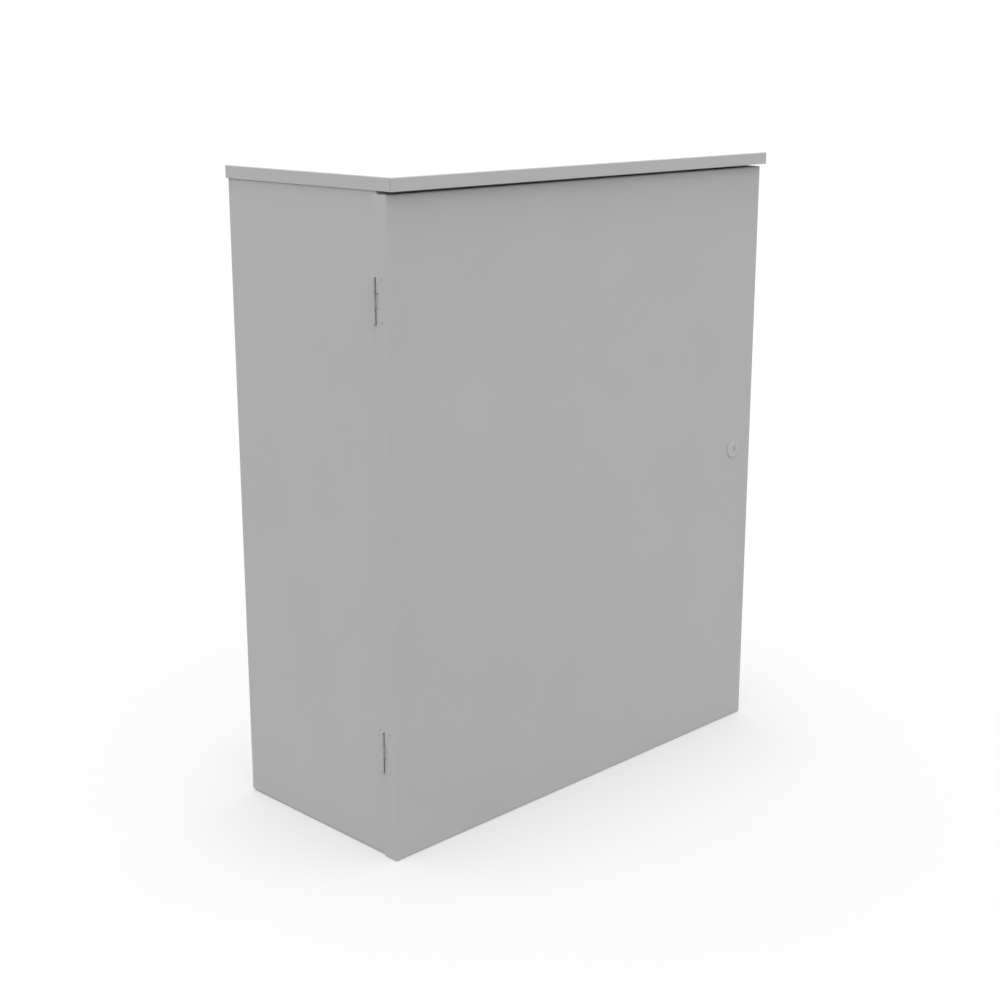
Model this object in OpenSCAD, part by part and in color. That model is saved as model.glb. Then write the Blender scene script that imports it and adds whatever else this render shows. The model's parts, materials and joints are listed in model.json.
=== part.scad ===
// Outdoor telephone cabinet: folded steel body, rain hood, hinged door with a
// key lock, and a plywood backboard that carries terminal blocks and an earth bar.
// X runs along the door, Y runs to the back, Z is up, and the floor is Z = 0.

/* [Cabinet] */
// Width over the door and the rain hood
cabinet_w = 762; // [680:1:900]
// Height from the floor to the top of the rain hood
cabinet_h = 918; // [850:1:1200]
// Depth of the body from its front flange to its back
body_depth = 307; // [260:1:400]
// Thickness of the folded steel sheet
sheet = 1.5; // [1.2:0.1:2]
// Inside radius of every fold in the sheet
fold_r = 0.6; // [0.5:0.1:1.5]
// Clearance of the door and the hood around the body
slip_gap = 0.5; // [0.5:0.1:1.5]
// Height that the embossed wall pads stand out of the back
pad_h = 4; // [3:0.5:6]
// Radius of a wall mounting hole
mount_hole_r = 5.5; // [4:0.1:7]
// Distance of the wall holes from the body's sides
mount_inset_x = 23; // [22:0.5:30]
// Distance of the wall holes from the body's top and bottom
mount_inset_z = 50; // [40:1:80]

/* [Rain hood] */
// Reach of the hood in front of the door
hood_reach = 10.5; // [6:0.5:30]
// Height of the hood's turned-down lip
hood_lip = 18; // [14:0.5:30]
// Width of the groove where two lips meet at a front corner
hood_seam = 0.6; // [0.4:0.1:1]
// Radius of the welded studs that hold the hood down
hood_stud_r = 3; // [2.5:0.1:4]

/* [Door] */
// Distance of the door's face in front of the body
door_stand = 19.5; // [18:0.5:26]
// Overlap of the door's side returns on the body
door_lap = 4.5; // [3:0.5:8]
// Gap between the door's top edge and the hood's lip
door_head_gap = 4; // [2:0.5:8]
// Gap between the door's lower edge and the floor
door_foot_gap = 0.8; // [0.6:0.1:1.4]
// Thickness of the foam gasket
gasket_t = 6; // [4:0.5:8]
// Width of the foam gasket
gasket_w = 12; // [8:0.5:14]
// Distance of the rain collar's inner face from the body's outer face
collar_inset = 13.6; // [12:0.1:16]
// Depth of the door's stiffening channel
stiffener_d = 14; // [8:0.5:15]

/* [Hinges] */
// Distance between the two hinges
hinge_span = 609.6; // [450:0.1:650]
// Height of a hinge barrel
barrel_h = 57; // [45:1:75]
// Outside radius of a hinge barrel
barrel_r = 2.6; // [2.5:0.1:3.2]
// Radius of a hinge pin
pin_r = 1.5; // [1.2:0.1:1.5]
// Running clearance of a pin in its bore
pin_fit = 0.05; // [0.02:0.01:0.08]
// Thickness of a hinge leaf
leaf_t = 1; // [0.8:0.1:1]
// Height of a hinge leaf behind the sheet
leaf_h = 72; // [66:1:90]

/* [Lock] */
// Distance of the lock from the door's free edge
lock_inset = 43; // [41:0.5:60]
// Radius of the lock's rosette
rosette_r = 15; // [13:0.5:18]
// Height of the lock's rosette
rosette_h = 1.5; // [1.2:0.1:4]
// Radius of the lock's threaded barrel
lock_barrel_r = 9.5; // [9:0.1:11]
// Radius of the lock's key plug
plug_r = 6; // [5:0.1:7]
// Thickness of the lock's cam
cam_t = 2.5; // [2:0.1:4]

/* [Gland plate] */
// Thickness of the plate that closes the cable entry
gland_plate_t = 3; // [2.5:0.1:4]
// Thickness of the gasket on that plate
gland_gasket_t = 0.5; // [0.5:0.1:1.5]

/* [Backboard] */
// Thickness of the plywood backboard
board_t = 19; // [12:0.5:22]
// Clear space behind the backboard
board_standoff = 10; // [8:0.5:20]
// Clear border between the backboard and the body's sides
board_margin = 34; // [34:0.5:60]
// Radius of a backboard stud
stud_r = 4; // [3:0.1:5]

/* [Terminal blocks] */
// Width of a terminal block
block_w = 86; // [70:1:100]
// Height of a terminal block
block_h = 254; // [200:1:260]
// Depth of a terminal block
block_d = 26; // [22:0.5:32]
// Depth of the bracket that carries a terminal block
bracket_d = 42; // [30:1:55]
// Distance between the slots of a fanning strip
fan_pitch = 10.16; // [8:0.01:15]

/* [Earth bar] */
// Length of the copper earth bar
bar_l = 240; // [180:1:300]
// Height of the copper earth bar
bar_h = 26; // [20:0.5:40]
// Thickness of the copper earth bar
bar_t = 6; // [5:0.5:10]

/* [Cable rings] */
// Inside radius of a cable ring
ring_r = 24; // [18:0.5:32]
// Radius of a cable ring's wire
wire_r = 2.5; // [2:0.1:3.5]

/* [Hidden] */
$fn = 48;
// How far every cut runs past the face that it leaves
overrun = 1;
// Side clearance of a screw or a stud in its hole, and of a thread in its nut
hole_fit = 0.5;
thread_fit = 0.05;
hex_sides = 6;

// Colours of the finishes
paint = "#acacac";
zinc = "#c8cacb";
plywood = "#c9a878";
foam = "#2b2b2c";
copper = "#b97a56";
moulding = "#e8e6dc";
insulator = "#7b2f26";
lock_metal = "#b4b4b2";

// Body and hood
fold_out = sheet + fold_r;
body_w = cabinet_w - 2 * (sheet + slip_gap);
inner_w = body_w - 2 * sheet;
total_depth = hood_reach + door_stand + body_depth + pad_h;
y_hood = -total_depth / 2;
y_door = y_hood + hood_reach;
y_body = y_door + door_stand;
y_back = y_body + body_depth;
y_back_in = y_back - sheet;
hood_depth = y_back + slip_gap + sheet - y_hood;
z_body = gland_plate_t + gland_gasket_t;
z_top = cabinet_h - sheet;
z_mid = cabinet_h / 2;
body_h = z_top - z_body;
weld_flange = 15;

// Wall pads pressed into the back
pad_base_r = 18;
pad_face_r = 13;
mount_x = body_w / 2 - mount_inset_x;
mount_z = body_h / 2 - mount_inset_z;
z_body_mid = z_body + body_h / 2;

// Folds, seams and studs of the hood, which slips over the body's square top edge
hood_fold_r = min(fold_r, slip_gap);
seam_depth_share = 0.3;
seam_depth = seam_depth_share * sheet;
hood_stud_l = 16;
hood_stud_inset = 110;
hood_stud_x = inner_w / 2 - hood_stud_inset;
hood_stud_y = body_depth / 2 - hood_stud_inset / 2;
y_body_mid = y_body + body_depth / 2;

// Door
door_depth = door_stand + door_lap;
door_top = cabinet_h - hood_lip - door_head_gap;
door_h = door_top - door_foot_gap;
return_gap = 1.5;
head_return = door_stand - return_gap;

// Rain collar around the door opening
collar_x = body_w / 2 - collar_inset;
collar_z0 = z_body + collar_inset;
collar_z1 = door_top - collar_inset;
lip_reach = door_stand - sheet - gasket_t;
lip_run = lip_reach - fold_r;
jamb_run = collar_inset - 2 * fold_out;

// Stiffening channel on the door's inner face
stiffener_t = 1.2;
stiffener_foot = 16;
stiffener_top = 46;
stiffener_end = 80;

// Hinges
bore_r = pin_r + pin_fit;
barrel_gap = 0.9;
barrel_back = 0.5;
knuckle_gap = 0.3;
knuckle_h = barrel_h / 3;
hinge_x = -(body_w / 2 + barrel_gap + barrel_r);
hinge_y = y_door + door_depth + barrel_back;
hinge_z = [z_mid + hinge_span / 2, z_mid - hinge_span / 2];
roll_r = barrel_r - leaf_t / 2;
return_u = -cabinet_w / 2 + sheet - hinge_x;
wall_u = barrel_gap + barrel_r + sheet;
flange_v = y_body - hinge_y;
leaf_clear = 1;
door_leaf_v = flange_v - leaf_clear;
door_leaf_end = y_door + fold_out + leaf_clear - hinge_y;
body_leaf_v = 6;
body_leaf_w = 20;
tongue_lap = 1.5;
pin_head_r = 2.2;
pin_head_h = 1.5;
notch_gap = 0.5;
slot_gap = 0.4;
hinge_screw_r = 1.5;
hinge_screw_head_r = 2.75;
hinge_screw_l = 4.5;
hinge_screw_span = 54;
hinge_screw_y = (door_leaf_v + door_leaf_end) / 2;

// Lock
lock_x = cabinet_w / 2 - lock_inset;
washer_t = 0.5;
washer_edge = 0.5;
rosette_edge = 0.5;
rosette_bevel = 2;
lock_flat = 8;
lock_fit = 0.3;
lock_nut_r = 13.8;
lock_nut_t = 5;
cam_clear = 2;
cam_gap = 0.2;
lock_barrel_l = door_stand + sheet + cam_clear - cam_gap;
plug_fit = 0.05;
plug_recess = 0.4;
key_w = 1.2;
key_l = 7.5;
shutter_depth = 0.8;
drive_w = 7;
drive_fit = 0.05;
drive_short = 0.1;
cam_w = 16;
cam_wall_gap = 6;
cam_reach = inner_w / 2 - cam_wall_gap - lock_x;
cam_screw_r = 2;
cam_screw_l = 9;
cam_head_r = 5;
cam_head_h = 2.6;

// Gland plate
gland_inset = 2;
gland_w = body_w - 2 * gland_inset;
gland_y0 = y_body + gland_inset;
gland_d = body_depth - 2 * gland_inset;
gland_frame = 42;
gland_corner_r = 3;
gland_screw_r = 2.5;
gland_head_r = 4.8;
gland_screw_l = 12;
gland_nut_r = 5.2;
gland_nut_t = 4;
gland_screw_inset = 20;
gland_column_n = 4;
gland_row_n = 2;

// Backboard
board_w = inner_w - 2 * board_margin;
board_h = body_h - 2 * board_margin;
y_board = y_back_in - board_standoff - board_t;
stud_inset = 45;
stud_x = board_w / 2 - stud_inset;
stud_z = board_h / 2 - stud_inset;
stud_collar_r = 2 * stud_r;
board_washer_r = 3 * stud_r;
board_washer_t = 1.6;
board_nut_t = 6.5;
board_nut_share = 1.85;
board_nut_r = board_nut_share * stud_r;
stud_end = 3;

// Terminal blocks in two columns and two rows
block_gap_x = 74;
block_gap_z = 30;
block_rise = 60;
block_x = (block_w + block_gap_x) / 2;
block_z = (block_h + block_gap_z) / 2;
block_places = [for (sz = [1, -1]) for (sx = [-1, 1])
    [sx * block_x, z_mid + block_rise + sz * block_z]];
bracket_t = 1.2;
bracket_foot = 15;
bracket_end = 24;
bracket_h = block_h - 2 * bracket_end;
bracket_screw_r = 2;
bracket_screw_l = 14;
bracket_head_r = 3.6;
bracket_head_h = 2;
bracket_screw_end = 15;
y_block = y_board - bracket_d;
block_base_share = 0.3;
block_wall_share = 0.08;
block_wall_rise_share = 0.8;
block_core_share = 0.56;
fan_slot = 3.2;
fan_end = 12;
fan_slots = floor((block_h - 2 * fan_end) / fan_pitch);

// Earth bar under the blocks
bar_drop = 330;
bar_z = z_mid - bar_drop;
post_r = 10;
post_l = 30;
post_tail_r = 3;
post_tail_l = 12;
post_inset = 22;
post_x = bar_l / 2 - post_inset;
y_bar = y_board - post_l;
earth_bolt_r = 3;
earth_bolt_head_r = 5.8;
earth_bolt_head_h = 4;
earth_bolt_l = 16;
earth_screw_r = 2.5;
earth_screw_head_r = 4.6;
earth_screw_head_h = 3.4;
earth_screw_l = 8;
earth_screw_n = 8;
earth_row = 2 * (post_x - post_inset);

// Cable rings beside the blocks
ring_gap = 52;
ring_leg = 12;
ring_foot_r = 8;
ring_foot_t = 2;
ring_x = block_x + block_w / 2 + ring_gap + ring_r;
ring_span = ring_r + wire_r;
ring_foot_x = ring_span + ring_foot_r;
ring_screw_r = 1.8;
ring_screw_l = 14;
ring_head_r = 3.4;
ring_head_h = 2;

// Square with its corners rounded, from the origin
module rounded_square(w, d, r) {
    translate([r, 0]) square([w - 2 * r, d]);
    translate([0, r]) square([w, d - 2 * r]);
    for (x = [r, w - r]) for (y = [r, d - r]) translate([x, y]) circle(r);
}

// Block outline with its two front corners rounded, centred on X
module front_block(w, d, r) {
    translate([-w / 2, r]) square([w, d - r]);
    translate([r - w / 2, 0]) square([w - 2 * r, d]);
    for (x = [r - w / 2, w / 2 - r]) translate([x, r]) circle(r);
}

// Solid tray: its face lies at Y = 0 and all four edges of that face are rounded
module tray(w, h, d, r) {
    intersection() {
        linear_extrude(height = h) front_block(w, d, r);
        rotate([90, 0, 90]) linear_extrude(height = w, center = true)
            translate([0, h / 2]) mirror([1, -1]) front_block(h, d, r);
    }
}

// Tray folded from one sheet, with an inside radius r
module folded_tray(w, h, d, r) {
    difference() {
        tray(w, h, d, sheet + r);
        translate([0, sheet, sheet]) tray(w - 2 * sheet, h - 2 * sheet, d, r);
    }
}

// Section through one fold of a strip, a left turn for 1 and a right turn for -1
module fold(turn, t, r) {
    intersection() {
        difference() {
            circle(t + r);
            circle(r);
        }
        translate([0, turn > 0 ? -(t + r) : 0]) square(t + r);
    }
}

// Section through a folded strip: a list of straight runs, each with the turn after it
module strip(steps, t, r, i = 0) {
    run = steps[i][0];
    turn = steps[i][1];
    square([run, t]);
    if (turn != 0) translate([run, turn > 0 ? t + r : -r]) {
        fold(turn, t, r);
        translate([turn > 0 ? t + r : r, 0]) rotate(90 * turn) strip(steps, t, r, i + 1);
    }
}

// Section through a hat channel that stands on Y = 0, centred on X
module hat_section(foot, top, d, t) {
    corner = t + fold_r;
    translate([-foot - top / 2, 0]) strip([
        [foot - fold_r, 1], [d - 2 * corner, -1], [top - 2 * corner, -1],
        [d - 2 * corner, 1], [foot - fold_r, 0]
    ], t, fold_r);
}

// Turns a shape built along Z so that it runs to the back along Y
module to_back() {
    rotate([-90, 0, 0]) children();
}

// Turns a shape built along Z so that it runs to the front along -Y
module to_front() {
    rotate([90, 0, 0]) children();
}

// Copies at the four corners of a rectangle in XZ
module at_corners(x, z) {
    for (sx = [-1, 1]) for (sz = [-1, 1]) translate([sx * x, 0, sz * z]) children();
}

// Ring with a bore
module ring(outer, inner, h) {
    difference() {
        cylinder(r = outer, h = h);
        translate([0, 0, -overrun]) cylinder(r = inner, h = h + 2 * overrun);
    }
}

// Hexagonal nut with a bore
module hex_nut(r, bore, h) {
    difference() {
        cylinder(r = r, h = h, $fn = hex_sides);
        translate([0, 0, -overrun]) cylinder(r = bore, h = h + 2 * overrun);
    }
}

// Round-headed screw: the head stands on Z = 0 and the shank runs down
module pan_screw(head_r, head_h, r, l) {
    cylinder(r1 = head_r, r2 = head_r - head_h / 2, h = head_h);
    translate([0, 0, -l]) cylinder(r = r, h = l);
}

// Countersunk screw: its flat head lies in Z = 0 and the shank runs down
module flat_screw(head_r, r, l) {
    translate([0, 0, r - head_r]) cylinder(r1 = r, r2 = head_r, h = head_r - r);
    translate([0, 0, -l]) cylinder(r = r, h = l);
}

// Hole for a countersunk screw through a sheet of thickness t under Z = 0
module flat_screw_hole(head_r, r, t, fit) {
    translate([0, 0, r - head_r])
        cylinder(r1 = r + fit, r2 = head_r + fit + overrun, h = head_r - r + overrun);
    translate([0, 0, -t - overrun]) cylinder(r = r + fit, h = t + overrun);
}

// Section through the body: back, sides, front flanges and rain collar lips
module wrapper_section() {
    side_run = body_depth - 2 * fold_out;
    back_run = body_w - 2 * fold_out;
    translate([-collar_x, y_body - lip_reach]) rotate(90) strip([
        [lip_run, 1], [jamb_run, -1], [side_run, -1], [back_run, -1],
        [side_run, -1], [jamb_run, 1], [lip_run, 0]
    ], sheet, fold_r);
}

// Space in front of the flange above and below the collar, where there is no lip
module collar_trim() {
    front = y_body - lip_reach - overrun;
    trim = [2 * body_w, lip_reach + overrun, body_h];
    translate([-body_w, front, collar_z1 + sheet]) cube(trim);
    translate([-body_w, front, collar_z0 - sheet - body_h]) cube(trim);
}

// Slots in the left side where the body leaf's two tongues come through
module leaf_slots() {
    slot_h = knuckle_h + 2 * slot_gap;
    for (z = hinge_z) for (s = [-1, 1])
        translate([hinge_x, hinge_y - slot_gap, z + s * knuckle_h - slot_h / 2])
            cube([wall_u + slot_gap, body_leaf_v + tongue_lap + 2 * slot_gap, slot_h]);
}

module body_wrapper() {
    color(paint) difference() {
        union() {
            translate([0, 0, z_body]) linear_extrude(height = body_h) wrapper_section();
            translate([0, y_back, z_body_mid]) at_corners(mount_x, mount_z) to_back()
                cylinder(r1 = pad_base_r, r2 = pad_face_r, h = pad_h);
        }
        translate([0, y_back_in, z_body_mid]) at_corners(mount_x, mount_z) to_back() {
            cylinder(r1 = pad_base_r, r2 = pad_face_r, h = pad_h);
            translate([0, 0, -overrun]) cylinder(r = pad_base_r, h = overrun);
            cylinder(r = mount_hole_r, h = sheet + pad_h + overrun);
        }
        collar_trim();
        leaf_slots();
    }
}

// Outline that fits an end panel inside the body and between its front flanges
module end_outline() {
    translate([-inner_w / 2, y_body + sheet])
        rounded_square(inner_w, body_depth - 2 * sheet, fold_r);
    translate([-collar_x, y_body - lip_reach - overrun])
        square([2 * collar_x, lip_reach + overrun + sheet + fold_out]);
}

// End panel of the body with its outer face at Z = 0 and a jamb that hangs from its front
module end_panel(jamb) {
    top_run = y_back_in - y_body - 2 * fold_out;
    intersection() {
        rotate([90, 0, 90]) linear_extrude(height = inner_w, center = true)
            translate([y_back_in, -weld_flange]) rotate(90) strip([
                [weld_flange - fold_out, 1], [top_run, 1],
                [jamb - 2 * fold_out, -1], [lip_run, 0]
            ], sheet, fold_r);
        translate([0, 0, -jamb - overrun]) linear_extrude(height = jamb + 2 * overrun) end_outline();
    }
}

// Places of the hood's studs
module at_hood_studs() {
    for (sx = [-1, 1]) for (sy = [-1, 1])
        translate([sx * hood_stud_x, y_body_mid + sy * hood_stud_y, z_top]) children();
}

module top_panel() {
    color(paint) difference() {
        translate([0, 0, z_top]) end_panel(z_top - collar_z1);
        at_hood_studs() translate([0, 0, -sheet - overrun])
            cylinder(r = hood_stud_r + hole_fit, h = sheet + 2 * overrun);
    }
}

// Places of the gland plate's screws
module at_gland_screws() {
    span_x = gland_w - 2 * gland_screw_inset;
    span_y = gland_d - 2 * gland_screw_inset;
    for (i = [0 : gland_column_n - 1]) for (j = [0 : gland_row_n - 1])
        translate([span_x * (i / (gland_column_n - 1)) - span_x / 2,
            gland_y0 + gland_screw_inset + span_y * j / (gland_row_n - 1), 0]) children();
}

// Opening for cables in the bottom of the body
module gland_opening() {
    translate([gland_frame - gland_w / 2, gland_y0 + gland_frame])
        rounded_square(gland_w - 2 * gland_frame, gland_d - 2 * gland_frame, gland_corner_r);
}

// Outline of the gland plate and its gasket
module gland_outline() {
    translate([-gland_w / 2, gland_y0]) rounded_square(gland_w, gland_d, gland_corner_r);
}

module bottom_panel() {
    color(paint) difference() {
        translate([0, 0, z_body]) mirror([0, 0, 1]) end_panel(collar_z0 - z_body);
        translate([0, 0, z_body - overrun]) linear_extrude(height = sheet + 2 * overrun) gland_opening();
        at_gland_screws() translate([0, 0, z_body - overrun])
            cylinder(r = gland_screw_r + hole_fit, h = sheet + 2 * overrun);
    }
}

module rain_hood() {
    seam_h = hood_lip - sheet - hood_fold_r;
    color(paint) {
        difference() {
            translate([0, y_hood, cabinet_h]) to_back()
                folded_tray(cabinet_w, hood_depth, hood_lip, hood_fold_r);
            for (x = [-cabinet_w / 2 - overrun, cabinet_w / 2 - seam_depth])
                translate([x, y_hood + sheet, cabinet_h - hood_lip - overrun])
                    cube([seam_depth + overrun, hood_seam, seam_h + overrun]);
        }
        at_hood_studs() translate([0, 0, -hood_stud_l])
            cylinder(r = hood_stud_r, h = hood_stud_l + sheet / 2);
    }
}

module hood_nuts() {
    nut_r = 2 * hood_stud_r;
    color(zinc) at_hood_studs() translate([0, 0, -sheet - nut_r])
        hex_nut(nut_r, hood_stud_r + thread_fit, nut_r);
}

module gland_plate() {
    color(paint) difference() {
        linear_extrude(height = gland_plate_t) gland_outline();
        at_gland_screws() mirror([0, 0, 1])
            flat_screw_hole(gland_head_r, gland_screw_r, gland_plate_t, thread_fit);
    }
}

module gland_gasket() {
    color(foam) translate([0, 0, gland_plate_t]) difference() {
        linear_extrude(height = gland_gasket_t) difference() {
            gland_outline();
            gland_opening();
        }
        at_gland_screws() translate([0, 0, -overrun])
            cylinder(r = gland_screw_r + hole_fit, h = gland_gasket_t + 2 * overrun);
    }
}

module gland_screws() {
    color(zinc) at_gland_screws() mirror([0, 0, 1])
        flat_screw(gland_head_r, gland_screw_r, gland_screw_l);
}

module gland_nuts() {
    color(zinc) at_gland_screws() translate([0, 0, z_body + sheet])
        hex_nut(gland_nut_r, gland_screw_r + thread_fit, gland_nut_t);
}

// Hole for a screw in the face of the backboard
module pilot_hole(r, l) {
    translate([0, -overrun, 0]) to_back() cylinder(r = r + thread_fit, h = l + 2 * overrun);
}

module backboard() {
    color(plywood) difference() {
        translate([-board_w / 2, y_board, z_body_mid - board_h / 2]) cube([board_w, board_t, board_h]);
        translate([0, y_board - overrun, z_body_mid]) at_corners(stud_x, stud_z) to_back()
            cylinder(r = stud_r + hole_fit, h = board_t + 2 * overrun);
        for (p = block_places) translate([p[0], y_board, p[1]]) at_bracket_screws()
            pilot_hole(bracket_screw_r, bracket_screw_l);
        for (i = [0 : len(block_places) - 1]) translate([ring_place(i)[0], y_board, ring_place(i)[1]])
            at_ring_feet() pilot_hole(ring_screw_r, ring_screw_l);
        for (sx = [-1, 1]) translate([sx * post_x, y_board, bar_z]) pilot_hole(post_tail_r, post_tail_l);
    }
}

module backboard_studs() {
    shank = board_t + board_washer_t + board_nut_t + stud_end;
    color(zinc) translate([0, y_back_in, z_body_mid]) at_corners(stud_x, stud_z) to_front() {
        cylinder(r = stud_collar_r, h = board_standoff);
        translate([0, 0, board_standoff]) cylinder(r = stud_r, h = shank);
    }
}

module backboard_washers() {
    color(zinc) translate([0, y_board, z_body_mid]) at_corners(stud_x, stud_z) to_front()
        ring(board_washer_r, stud_r + hole_fit, board_washer_t);
}

module backboard_nuts() {
    color(zinc) translate([0, y_board - board_washer_t, z_body_mid]) at_corners(stud_x, stud_z)
        to_front() hex_nut(board_nut_r, stud_r + thread_fit, board_nut_t);
}

// Section through a terminal block: base, two fanning walls and the core between them
module block_section() {
    base = block_base_share * block_d;
    wall = block_wall_share * block_w;
    rise = block_wall_rise_share * block_d;
    core = block_core_share * block_w;
    translate([-block_w / 2, 0]) square([block_w, base]);
    translate([-core / 2, 0]) square([core, block_d]);
    for (x = [-block_w / 2, block_w / 2 - wall]) translate([x, 0]) square([wall, rise]);
}

module terminal_block(i) {
    base = block_base_share * block_d;
    wall = block_wall_share * block_w;
    rise = block_wall_rise_share * block_d;
    first = -(fan_slots - 1) * fan_pitch / 2;
    color(moulding) translate([block_places[i][0], y_block, block_places[i][1]]) difference() {
        linear_extrude(height = block_h, center = true) mirror([0, 1]) block_section();
        for (x = [-block_w / 2 - overrun, block_w / 2 - wall - overrun]) for (k = [0 : fan_slots - 1])
            translate([x, -rise - overrun, first + k * fan_pitch - fan_slot / 2])
                cube([wall + 2 * overrun, rise - base + overrun, fan_slot]);
    }
}

// Places of one bracket's screws, on the board's face
module at_bracket_screws() {
    at_corners((block_w + bracket_foot) / 2, bracket_h / 2 - bracket_screw_end) children();
}

module block_bracket(i) {
    color(zinc) translate([block_places[i][0], y_board, block_places[i][1]]) difference() {
        linear_extrude(height = bracket_h, center = true) mirror([0, 1])
            hat_section(bracket_foot, block_w, bracket_d, bracket_t);
        at_bracket_screws() to_front() translate([0, 0, -overrun])
            cylinder(r = bracket_screw_r + thread_fit, h = bracket_t + 2 * overrun);
    }
}

module bracket_screws() {
    color(zinc) for (p = block_places) translate([p[0], y_board - bracket_t, p[1]])
        at_bracket_screws() to_front()
            pan_screw(bracket_head_r, bracket_head_h, bracket_screw_r, bracket_screw_l);
}

module earth_bar() {
    color(copper) difference() {
        translate([-bar_l / 2, y_bar - bar_t, bar_z - bar_h / 2]) cube([bar_l, bar_t, bar_h]);
        translate([0, y_bar + overrun, bar_z]) {
            for (sx = [-1, 1]) translate([sx * post_x, 0, 0]) to_front()
                cylinder(r = earth_bolt_r + thread_fit, h = bar_t + 2 * overrun);
            at_earth_screws() to_front()
                cylinder(r = earth_screw_r + thread_fit, h = bar_t + 2 * overrun);
        }
    }
}

// Places of the wire screws along the bar
module at_earth_screws() {
    for (i = [0 : earth_screw_n - 1])
        translate([earth_row * (i / (earth_screw_n - 1)) - earth_row / 2, 0, 0]) children();
}

// Insulating post that holds one end of the bar
module earth_post(side) {
    color(insulator) translate([side * post_x, y_board, bar_z]) to_front() difference() {
        union() {
            cylinder(r = post_r, h = post_l);
            translate([0, 0, -post_tail_l]) cylinder(r = post_tail_r, h = post_tail_l + overrun);
        }
        translate([0, 0, post_l + bar_t - earth_bolt_l - overrun])
            cylinder(r = earth_bolt_r + thread_fit, h = earth_bolt_l + overrun);
    }
}

module earth_bolts() {
    color(zinc) for (sx = [-1, 1]) translate([sx * post_x, y_bar - bar_t, bar_z]) to_front() {
        cylinder(r = earth_bolt_head_r, h = earth_bolt_head_h, $fn = hex_sides);
        translate([0, 0, -earth_bolt_l]) cylinder(r = earth_bolt_r, h = earth_bolt_l);
    }
}

module earth_screws() {
    color(zinc) translate([0, y_bar - bar_t, bar_z]) at_earth_screws() to_front()
        pan_screw(earth_screw_head_r, earth_screw_head_h, earth_screw_r, earth_screw_l);
}

// Places of the cable rings, beside each terminal block
function ring_place(i) = [sign(block_places[i][0]) * ring_x, block_places[i][1]];

// Places of one ring's two feet
module at_ring_feet() {
    for (s = [-1, 1]) translate([s * ring_foot_x, 0, 0]) children();
}

// Wire ring that stands out of the board on two flattened feet
module cable_ring(i) {
    color(zinc) translate([ring_place(i)[0], y_board, ring_place(i)[1]]) to_front() difference() {
        union() {
            translate([0, 0, ring_leg]) rotate([90, 0, 0])
                rotate_extrude(angle = 180) translate([ring_span, 0]) circle(wire_r);
            for (s = [-1, 1]) translate([s * ring_span, 0, 0]) cylinder(r = wire_r, h = ring_leg);
            at_ring_feet() cylinder(r = ring_foot_r, h = ring_foot_t);
        }
        at_ring_feet() translate([0, 0, -overrun])
            cylinder(r = ring_screw_r + thread_fit, h = ring_foot_t + 2 * overrun);
    }
}

module ring_screws() {
    color(zinc) for (i = [0 : len(block_places) - 1])
        translate([ring_place(i)[0], y_board - ring_foot_t, ring_place(i)[1]]) at_ring_feet()
            to_front() pan_screw(ring_head_r, ring_head_h, ring_screw_r, ring_screw_l);
}

// Direction and length of a tongue that leaves the barrel on side s and ends at a point
function tongue_angle(end, s) = atan2(end[1], end[0]) - s * asin(roll_r / norm(end));
function tongue_len(end) = sqrt(end * end - roll_r * roll_r);

// Section through a rolled knuckle and the tongue that joins it to its leaf
module knuckle_section(end, s) {
    difference() {
        union() {
            circle(barrel_r);
            rotate(tongue_angle(end, s)) translate([0, s * roll_r - leaf_t / 2])
                square([tongue_len(end), leaf_t]);
        }
        circle(bore_r);
    }
}

// Leaf inside the body: two knuckles, with a plate welded to the side's inner face
module body_leaf(z) {
    end = [wall_u + leaf_t / 2, body_leaf_v + tongue_lap];
    color(paint) translate([hinge_x, hinge_y, z]) {
        for (s = [-1, 1]) translate([0, 0, s * knuckle_h])
            linear_extrude(height = knuckle_h, center = true) knuckle_section(end, -1);
        translate([wall_u, body_leaf_v, -leaf_h / 2]) cube([leaf_t, body_leaf_w, leaf_h]);
    }
}

// Places of the two screws of a door leaf, on the outside of the door's return
module at_hinge_screws() {
    for (s = [-1, 1]) translate([-cabinet_w / 2 - hinge_x, hinge_screw_y, s * hinge_screw_span / 2])
        rotate([0, -90, 0]) children();
}

// Leaf inside the door's return: one knuckle and a plate with two tapped holes
module door_leaf(z) {
    end = [return_u + leaf_t / 2, door_leaf_v - tongue_lap];
    color(paint) translate([hinge_x, hinge_y, z]) {
        linear_extrude(height = knuckle_h - 2 * knuckle_gap, center = true) knuckle_section(end, 1);
        difference() {
            translate([return_u, door_leaf_end, -leaf_h / 2])
                cube([leaf_t, door_leaf_v - door_leaf_end, leaf_h]);
            at_hinge_screws() translate([0, 0, -hinge_screw_l - overrun])
                cylinder(r = hinge_screw_r + thread_fit, h = hinge_screw_l + overrun);
        }
    }
}

module hinge_pin(z) {
    color(paint) translate([hinge_x, hinge_y, z]) {
        cylinder(r = pin_r, h = barrel_h, center = true);
        translate([0, 0, barrel_h / 2]) cylinder(r = pin_head_r, h = pin_head_h);
        translate([0, 0, -barrel_h / 2 - pin_head_h]) cylinder(r = pin_head_r, h = pin_head_h);
    }
}

module hinge_screws() {
    color(paint) for (z = hinge_z) translate([hinge_x, hinge_y, z]) at_hinge_screws()
        flat_screw(hinge_screw_head_r, hinge_screw_r, hinge_screw_l);
}

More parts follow.
